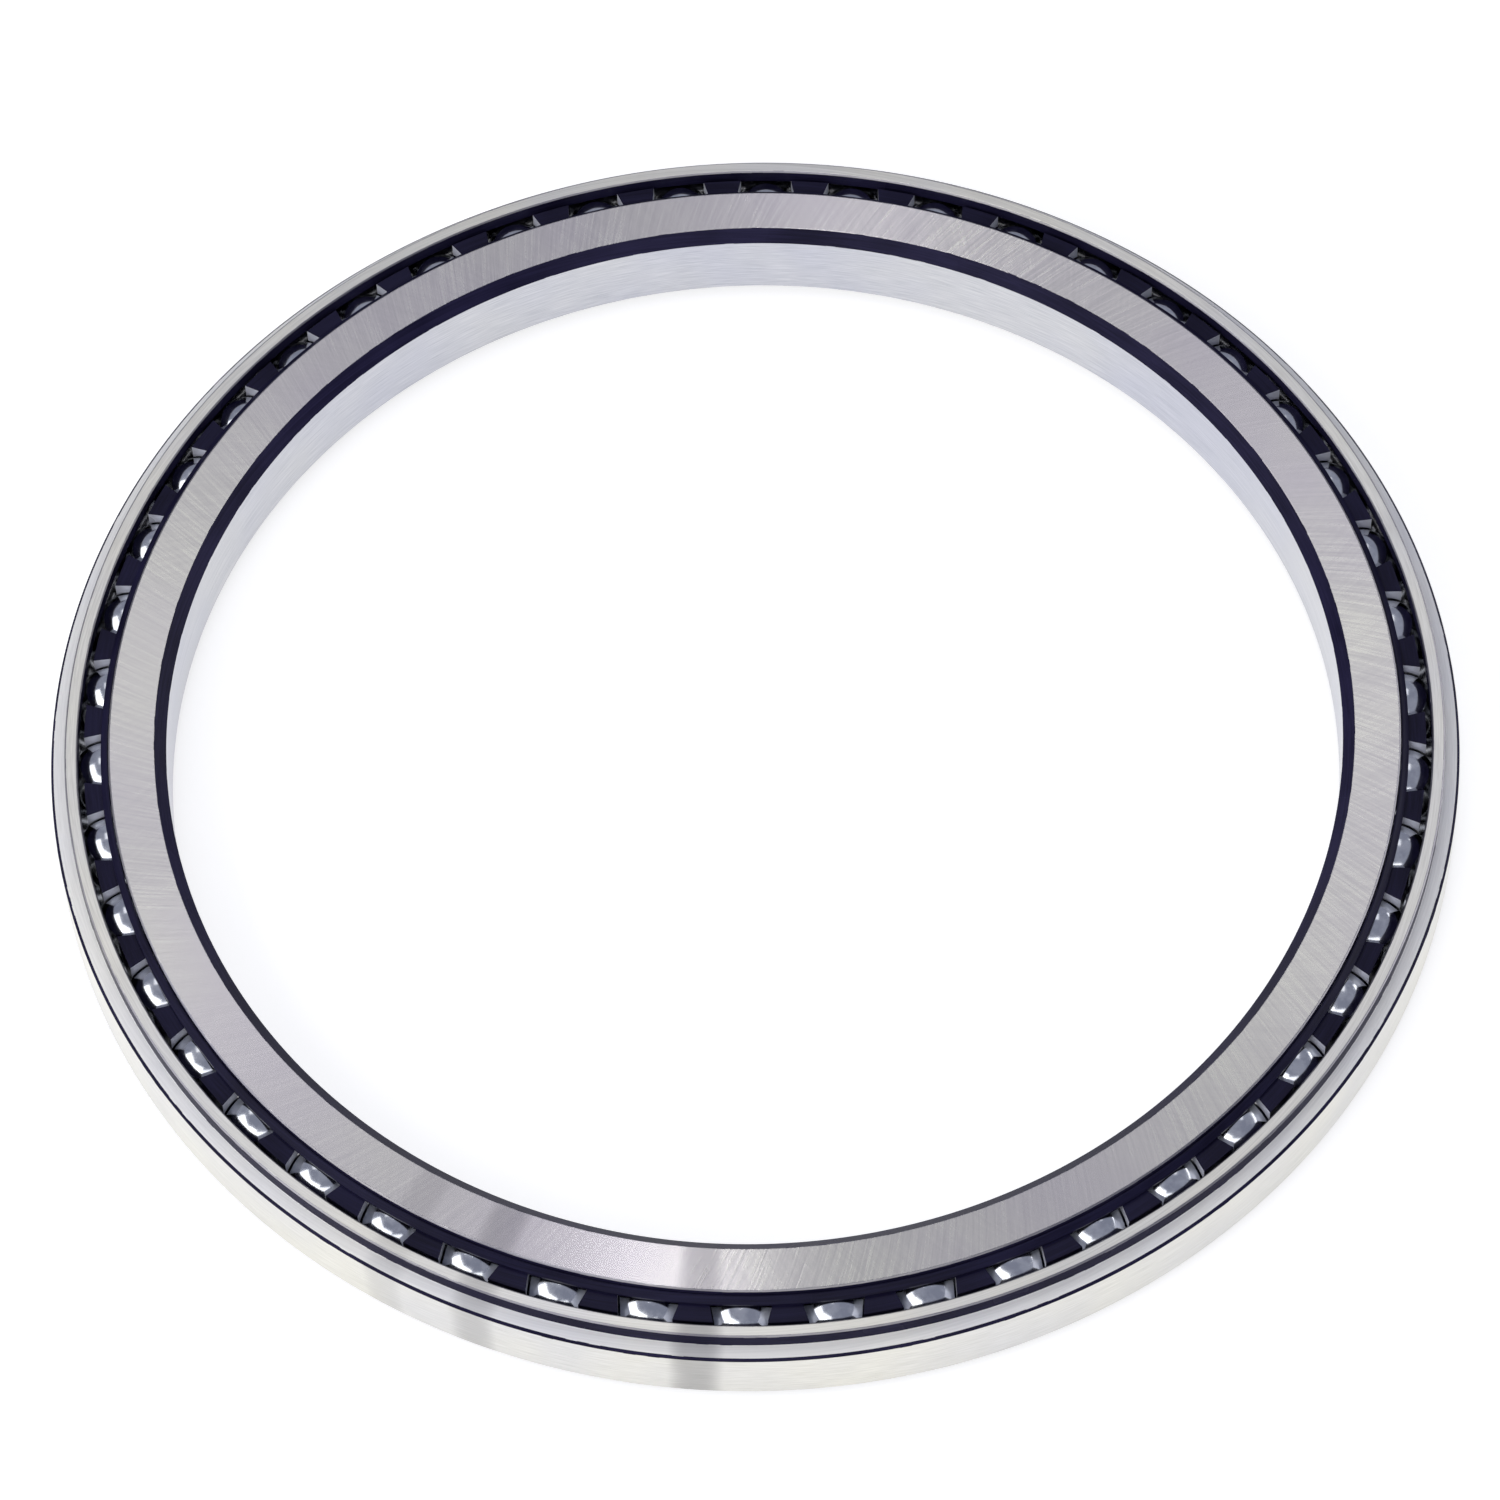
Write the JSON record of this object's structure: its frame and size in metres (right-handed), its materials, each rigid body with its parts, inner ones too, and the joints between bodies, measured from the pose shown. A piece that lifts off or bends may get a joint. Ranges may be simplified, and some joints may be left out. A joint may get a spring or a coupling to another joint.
{
  "type": "angular contact ball bearing",
  "caption": "thin-section angular contact ball bearing: wide-faced inner ring, outer ring with a thin stepped lip, dark window cage and one row of steel balls",
  "frame": {"origin": "on the bearing's axis, in the plane of the two back faces it rests on", "axes": "+Z along the bearing's axis, out of the open lip side; +X and +Y in the plane of the back faces"},
  "size_m": [0.27, 0.27, 0.019],
  "materials": {
    "outer_ring_steel": "ground bearing steel with satin turned step",
    "inner_ring_steel": "ground bearing steel with dark heat-treated chamfers",
    "cage_steel": "blackened pressed steel",
    "ball_steel": "lapped mirror finish"
  },
  "bodies": {
    "outer": {"outer_ring": "outer_ring_steel"},
    "inner": {"inner_ring": "inner_ring_steel"},
    "cage": {"cage": "cage_steel"},
    "ball_01_body": {"ball_01": "ball_steel"},
    "ball_02_body": {"ball_02": "ball_steel"},
    "ball_03_body": {"ball_03": "ball_steel"},
    "ball_04_body": {"ball_04": "ball_steel"},
    "ball_05_body": {"ball_05": "ball_steel"},
    "ball_06_body": {"ball_06": "ball_steel"},
    "ball_07_body": {"ball_07": "ball_steel"},
    "ball_08_body": {"ball_08": "ball_steel"},
    "ball_09_body": {"ball_09": "ball_steel"},
    "ball_10_body": {"ball_10": "ball_steel"},
    "ball_11_body": {"ball_11": "ball_steel"},
    "ball_12_body": {"ball_12": "ball_steel"},
    "ball_13_body": {"ball_13": "ball_steel"},
    "ball_14_body": {"ball_14": "ball_steel"},
    "ball_15_body": {"ball_15": "ball_steel"},
    "ball_16_body": {"ball_16": "ball_steel"},
    "ball_17_body": {"ball_17": "ball_steel"},
    "ball_18_body": {"ball_18": "ball_steel"},
    "ball_19_body": {"ball_19": "ball_steel"},
    "ball_20_body": {"ball_20": "ball_steel"},
    "ball_21_body": {"ball_21": "ball_steel"},
    "ball_22_body": {"ball_22": "ball_steel"},
    "ball_23_body": {"ball_23": "ball_steel"},
    "ball_24_body": {"ball_24": "ball_steel"},
    "ball_25_body": {"ball_25": "ball_steel"},
    "ball_26_body": {"ball_26": "ball_steel"},
    "ball_27_body": {"ball_27": "ball_steel"},
    "ball_28_body": {"ball_28": "ball_steel"},
    "ball_29_body": {"ball_29": "ball_steel"},
    "ball_30_body": {"ball_30": "ball_steel"},
    "ball_31_body": {"ball_31": "ball_steel"},
    "ball_32_body": {"ball_32": "ball_steel"},
    "ball_33_body": {"ball_33": "ball_steel"},
    "ball_34_body": {"ball_34": "ball_steel"},
    "ball_35_body": {"ball_35": "ball_steel"},
    "ball_36_body": {"ball_36": "ball_steel"},
    "ball_37_body": {"ball_37": "ball_steel"},
    "ball_38_body": {"ball_38": "ball_steel"},
    "ball_39_body": {"ball_39": "ball_steel"},
    "ball_40_body": {"ball_40": "ball_steel"},
    "ball_41_body": {"ball_41": "ball_steel"},
    "ball_42_body": {"ball_42": "ball_steel"},
    "ball_43_body": {"ball_43": "ball_steel"},
    "ball_44_body": {"ball_44": "ball_steel"},
    "ball_45_body": {"ball_45": "ball_steel"},
    "ball_46_body": {"ball_46": "ball_steel"}
  },
  "joints": [
    {"name": "inner_spin", "type": "hinge", "parent": "outer", "child": "inner", "pos_m": [0, 0, 0.009], "axis": [0, 0, 1], "continuous": true},
    {"name": "cage_spin", "type": "hinge", "parent": "outer", "child": "cage", "pos_m": [0, 0, 0.009], "axis": [0, 0, 1], "continuous": true},
    {"name": "ball_01_spin", "type": "hinge", "parent": "cage", "child": "ball_01_body", "pos_m": [0.12439, 0.00176, 0.009], "axis": [0.5735, 0.0081, 0.8192], "continuous": true},
    {"name": "ball_02_spin", "type": "hinge", "parent": "cage", "child": "ball_02_body", "pos_m": [0.12299, 0.01868, 0.009], "axis": [0.5671, 0.0861, 0.8192], "continuous": true},
    {"name": "ball_03_spin", "type": "hinge", "parent": "cage", "child": "ball_03_body", "pos_m": [0.1193, 0.03525, 0.009], "axis": [0.5501, 0.1625, 0.8192], "continuous": true},
    {"name": "ball_04_spin", "type": "hinge", "parent": "cage", "child": "ball_04_body", "pos_m": [0.11339, 0.05117, 0.009], "axis": [0.5228, 0.2359, 0.8192], "continuous": true},
    {"name": "ball_05_spin", "type": "hinge", "parent": "cage", "child": "ball_05_body", "pos_m": [0.10537, 0.06613, 0.009], "axis": [0.4858, 0.3049, 0.8192], "continuous": true},
    {"name": "ball_06_spin", "type": "hinge", "parent": "cage", "child": "ball_06_body", "pos_m": [0.09538, 0.07986, 0.009], "axis": [0.4398, 0.3682, 0.8192], "continuous": true},
    {"name": "ball_07_spin", "type": "hinge", "parent": "cage", "child": "ball_07_body", "pos_m": [0.08362, 0.09211, 0.009], "axis": [0.3855, 0.4247, 0.8192], "continuous": true},
    {"name": "ball_08_spin", "type": "hinge", "parent": "cage", "child": "ball_08_body", "pos_m": [0.0703, 0.10264, 0.009], "axis": [0.3241, 0.4732, 0.8192], "continuous": true},
    {"name": "ball_09_spin", "type": "hinge", "parent": "cage", "child": "ball_09_body", "pos_m": [0.05566, 0.11125, 0.009], "axis": [0.2567, 0.5129, 0.8192], "continuous": true},
    {"name": "ball_10_spin", "type": "hinge", "parent": "cage", "child": "ball_10_body", "pos_m": [0.04, 0.11779, 0.009], "axis": [0.1844, 0.5431, 0.8192], "continuous": true},
    {"name": "ball_11_spin", "type": "hinge", "parent": "cage", "child": "ball_11_body", "pos_m": [0.02359, 0.12214, 0.009], "axis": [0.1087, 0.5632, 0.8192], "continuous": true},
    {"name": "ball_12_spin", "type": "hinge", "parent": "cage", "child": "ball_12_body", "pos_m": [0.00673, 0.12422, 0.009], "axis": [0.031, 0.5727, 0.8192], "continuous": true},
    {"name": "ball_13_spin", "type": "hinge", "parent": "cage", "child": "ball_13_body", "pos_m": [-0.01024, 0.12398, 0.009], "axis": [-0.0472, 0.5716, 0.8192], "continuous": true},
    {"name": "ball_14_spin", "type": "hinge", "parent": "cage", "child": "ball_14_body", "pos_m": [-0.02703, 0.12143, 0.009], "axis": [-0.1246, 0.5599, 0.8192], "continuous": true},
    {"name": "ball_15_spin", "type": "hinge", "parent": "cage", "child": "ball_15_body", "pos_m": [-0.04331, 0.11662, 0.009], "axis": [-0.1997, 0.5377, 0.8192], "continuous": true},
    {"name": "ball_16_spin", "type": "hinge", "parent": "cage", "child": "ball_16_body", "pos_m": [-0.05879, 0.10963, 0.009], "axis": [-0.2711, 0.5055, 0.8192], "continuous": true},
    {"name": "ball_17_spin", "type": "hinge", "parent": "cage", "child": "ball_17_body", "pos_m": [-0.07317, 0.10061, 0.009], "axis": [-0.3374, 0.4639, 0.8192], "continuous": true},
    {"name": "ball_18_spin", "type": "hinge", "parent": "cage", "child": "ball_18_body", "pos_m": [-0.08619, 0.08971, 0.009], "axis": [-0.3974, 0.4136, 0.8192], "continuous": true},
    {"name": "ball_19_spin", "type": "hinge", "parent": "cage", "child": "ball_19_body", "pos_m": [-0.0976, 0.07714, 0.009], "axis": [-0.45, 0.3557, 0.8192], "continuous": true},
    {"name": "ball_20_spin", "type": "hinge", "parent": "cage", "child": "ball_20_body", "pos_m": [-0.10719, 0.06313, 0.009], "axis": [-0.4942, 0.2911, 0.8192], "continuous": true},
    {"name": "ball_21_spin", "type": "hinge", "parent": "cage", "child": "ball_21_body", "pos_m": [-0.11479, 0.04794, 0.009], "axis": [-0.5293, 0.2211, 0.8192], "continuous": true},
    {"name": "ball_22_spin", "type": "hinge", "parent": "cage", "child": "ball_22_body", "pos_m": [-0.12025, 0.03187, 0.009], "axis": [-0.5544, 0.1469, 0.8192], "continuous": true},
    {"name": "ball_23_spin", "type": "hinge", "parent": "cage", "child": "ball_23_body", "pos_m": [-0.12347, 0.0152, 0.009], "axis": [-0.5693, 0.0701, 0.8192], "continuous": true},
    {"name": "ball_24_spin", "type": "hinge", "parent": "cage", "child": "ball_24_body", "pos_m": [-0.12439, -0.00176, 0.009], "axis": [-0.5735, -0.0081, 0.8192], "continuous": true},
    {"name": "ball_25_spin", "type": "hinge", "parent": "cage", "child": "ball_25_body", "pos_m": [-0.12299, -0.01868, 0.009], "axis": [-0.5671, -0.0861, 0.8192], "continuous": true},
    {"name": "ball_26_spin", "type": "hinge", "parent": "cage", "child": "ball_26_body", "pos_m": [-0.1193, -0.03525, 0.009], "axis": [-0.5501, -0.1625, 0.8192], "continuous": true},
    {"name": "ball_27_spin", "type": "hinge", "parent": "cage", "child": "ball_27_body", "pos_m": [-0.11339, -0.05117, 0.009], "axis": [-0.5228, -0.2359, 0.8192], "continuous": true},
    {"name": "ball_28_spin", "type": "hinge", "parent": "cage", "child": "ball_28_body", "pos_m": [-0.10537, -0.06613, 0.009], "axis": [-0.4858, -0.3049, 0.8192], "continuous": true},
    {"name": "ball_29_spin", "type": "hinge", "parent": "cage", "child": "ball_29_body", "pos_m": [-0.09538, -0.07986, 0.009], "axis": [-0.4398, -0.3682, 0.8192], "continuous": true},
    {"name": "ball_30_spin", "type": "hinge", "parent": "cage", "child": "ball_30_body", "pos_m": [-0.08362, -0.09211, 0.009], "axis": [-0.3855, -0.4247, 0.8192], "continuous": true},
    {"name": "ball_31_spin", "type": "hinge", "parent": "cage", "child": "ball_31_body", "pos_m": [-0.0703, -0.10264, 0.009], "axis": [-0.3241, -0.4732, 0.8192], "continuous": true},
    {"name": "ball_32_spin", "type": "hinge", "parent": "cage", "child": "ball_32_body", "pos_m": [-0.05566, -0.11125, 0.009], "axis": [-0.2567, -0.5129, 0.8192], "continuous": true},
    {"name": "ball_33_spin", "type": "hinge", "parent": "cage", "child": "ball_33_body", "pos_m": [-0.04, -0.11779, 0.009], "axis": [-0.1844, -0.5431, 0.8192], "continuous": true},
    {"name": "ball_34_spin", "type": "hinge", "parent": "cage", "child": "ball_34_body", "pos_m": [-0.02359, -0.12214, 0.009], "axis": [-0.1087, -0.5632, 0.8192], "continuous": true},
    {"name": "ball_35_spin", "type": "hinge", "parent": "cage", "child": "ball_35_body", "pos_m": [-0.00673, -0.12422, 0.009], "axis": [-0.031, -0.5727, 0.8192], "continuous": true},
    {"name": "ball_36_spin", "type": "hinge", "parent": "cage", "child": "ball_36_body", "pos_m": [0.01024, -0.12398, 0.009], "axis": [0.0472, -0.5716, 0.8192], "continuous": true},
    {"name": "ball_37_spin", "type": "hinge", "parent": "cage", "child": "ball_37_body", "pos_m": [0.02703, -0.12143, 0.009], "axis": [0.1246, -0.5599, 0.8192], "continuous": true},
    {"name": "ball_38_spin", "type": "hinge", "parent": "cage", "child": "ball_38_body", "pos_m": [0.04331, -0.11662, 0.009], "axis": [0.1997, -0.5377, 0.8192], "continuous": true},
    {"name": "ball_39_spin", "type": "hinge", "parent": "cage", "child": "ball_39_body", "pos_m": [0.05879, -0.10963, 0.009], "axis": [0.2711, -0.5055, 0.8192], "continuous": true},
    {"name": "ball_40_spin", "type": "hinge", "parent": "cage", "child": "ball_40_body", "pos_m": [0.07317, -0.10061, 0.009], "axis": [0.3374, -0.4639, 0.8192], "continuous": true},
    {"name": "ball_41_spin", "type": "hinge", "parent": "cage", "child": "ball_41_body", "pos_m": [0.08619, -0.08971, 0.009], "axis": [0.3974, -0.4136, 0.8192], "continuous": true},
    {"name": "ball_42_spin", "type": "hinge", "parent": "cage", "child": "ball_42_body", "pos_m": [0.0976, -0.07714, 0.009], "axis": [0.45, -0.3557, 0.8192], "continuous": true},
    {"name": "ball_43_spin", "type": "hinge", "parent": "cage", "child": "ball_43_body", "pos_m": [0.10719, -0.06313, 0.009], "axis": [0.4942, -0.2911, 0.8192], "continuous": true},
    {"name": "ball_44_spin", "type": "hinge", "parent": "cage", "child": "ball_44_body", "pos_m": [0.11479, -0.04794, 0.009], "axis": [0.5293, -0.2211, 0.8192], "continuous": true},
    {"name": "ball_45_spin", "type": "hinge", "parent": "cage", "child": "ball_45_body", "pos_m": [0.12025, -0.03187, 0.009], "axis": [0.5544, -0.1469, 0.8192], "continuous": true},
    {"name": "ball_46_spin", "type": "hinge", "parent": "cage", "child": "ball_46_body", "pos_m": [0.12347, -0.0152, 0.009], "axis": [0.5693, -0.0701, 0.8192], "continuous": true}
  ],
  "couplings": [
    {"joint": "cage_spin", "follows": "inner_spin", "ratio": 0.47648},
    {"joint": "ball_01_spin", "follows": "inner_spin", "ratio": -8.6873},
    {"joint": "ball_02_spin", "follows": "inner_spin", "ratio": -8.6873},
    {"joint": "ball_03_spin", "follows": "inner_spin", "ratio": -8.6873},
    {"joint": "ball_04_spin", "follows": "inner_spin", "ratio": -8.6873},
    {"joint": "ball_05_spin", "follows": "inner_spin", "ratio": -8.6873},
    {"joint": "ball_06_spin", "follows": "inner_spin", "ratio": -8.6873},
    {"joint": "ball_07_spin", "follows": "inner_spin", "ratio": -8.6873},
    {"joint": "ball_08_spin", "follows": "inner_spin", "ratio": -8.6873},
    {"joint": "ball_09_spin", "follows": "inner_spin", "ratio": -8.6873},
    {"joint": "ball_10_spin", "follows": "inner_spin", "ratio": -8.6873},
    {"joint": "ball_11_spin", "follows": "inner_spin", "ratio": -8.6873},
    {"joint": "ball_12_spin", "follows": "inner_spin", "ratio": -8.6873},
    {"joint": "ball_13_spin", "follows": "inner_spin", "ratio": -8.6873},
    {"joint": "ball_14_spin", "follows": "inner_spin", "ratio": -8.6873},
    {"joint": "ball_15_spin", "follows": "inner_spin", "ratio": -8.6873},
    {"joint": "ball_16_spin", "follows": "inner_spin", "ratio": -8.6873},
    {"joint": "ball_17_spin", "follows": "inner_spin", "ratio": -8.6873},
    {"joint": "ball_18_spin", "follows": "inner_spin", "ratio": -8.6873},
    {"joint": "ball_19_spin", "follows": "inner_spin", "ratio": -8.6873},
    {"joint": "ball_20_spin", "follows": "inner_spin", "ratio": -8.6873},
    {"joint": "ball_21_spin", "follows": "inner_spin", "ratio": -8.6873},
    {"joint": "ball_22_spin", "follows": "inner_spin", "ratio": -8.6873},
    {"joint": "ball_23_spin", "follows": "inner_spin", "ratio": -8.6873},
    {"joint": "ball_24_spin", "follows": "inner_spin", "ratio": -8.6873},
    {"joint": "ball_25_spin", "follows": "inner_spin", "ratio": -8.6873},
    {"joint": "ball_26_spin", "follows": "inner_spin", "ratio": -8.6873},
    {"joint": "ball_27_spin", "follows": "inner_spin", "ratio": -8.6873},
    {"joint": "ball_28_spin", "follows": "inner_spin", "ratio": -8.6873},
    {"joint": "ball_29_spin", "follows": "inner_spin", "ratio": -8.6873},
    {"joint": "ball_30_spin", "follows": "inner_spin", "ratio": -8.6873},
    {"joint": "ball_31_spin", "follows": "inner_spin", "ratio": -8.6873},
    {"joint": "ball_32_spin", "follows": "inner_spin", "ratio": -8.6873},
    {"joint": "ball_33_spin", "follows": "inner_spin", "ratio": -8.6873},
    {"joint": "ball_34_spin", "follows": "inner_spin", "ratio": -8.6873},
    {"joint": "ball_35_spin", "follows": "inner_spin", "ratio": -8.6873},
    {"joint": "ball_36_spin", "follows": "inner_spin", "ratio": -8.6873},
    {"joint": "ball_37_spin", "follows": "inner_spin", "ratio": -8.6873},
    {"joint": "ball_38_spin", "follows": "inner_spin", "ratio": -8.6873},
    {"joint": "ball_39_spin", "follows": "inner_spin", "ratio": -8.6873},
    {"joint": "ball_40_spin", "follows": "inner_spin", "ratio": -8.6873},
    {"joint": "ball_41_spin", "follows": "inner_spin", "ratio": -8.6873},
    {"joint": "ball_42_spin", "follows": "inner_spin", "ratio": -8.6873},
    {"joint": "ball_43_spin", "follows": "inner_spin", "ratio": -8.6873},
    {"joint": "ball_44_spin", "follows": "inner_spin", "ratio": -8.6873},
    {"joint": "ball_45_spin", "follows": "inner_spin", "ratio": -8.6873},
    {"joint": "ball_46_spin", "follows": "inner_spin", "ratio": -8.6873}
  ]
}
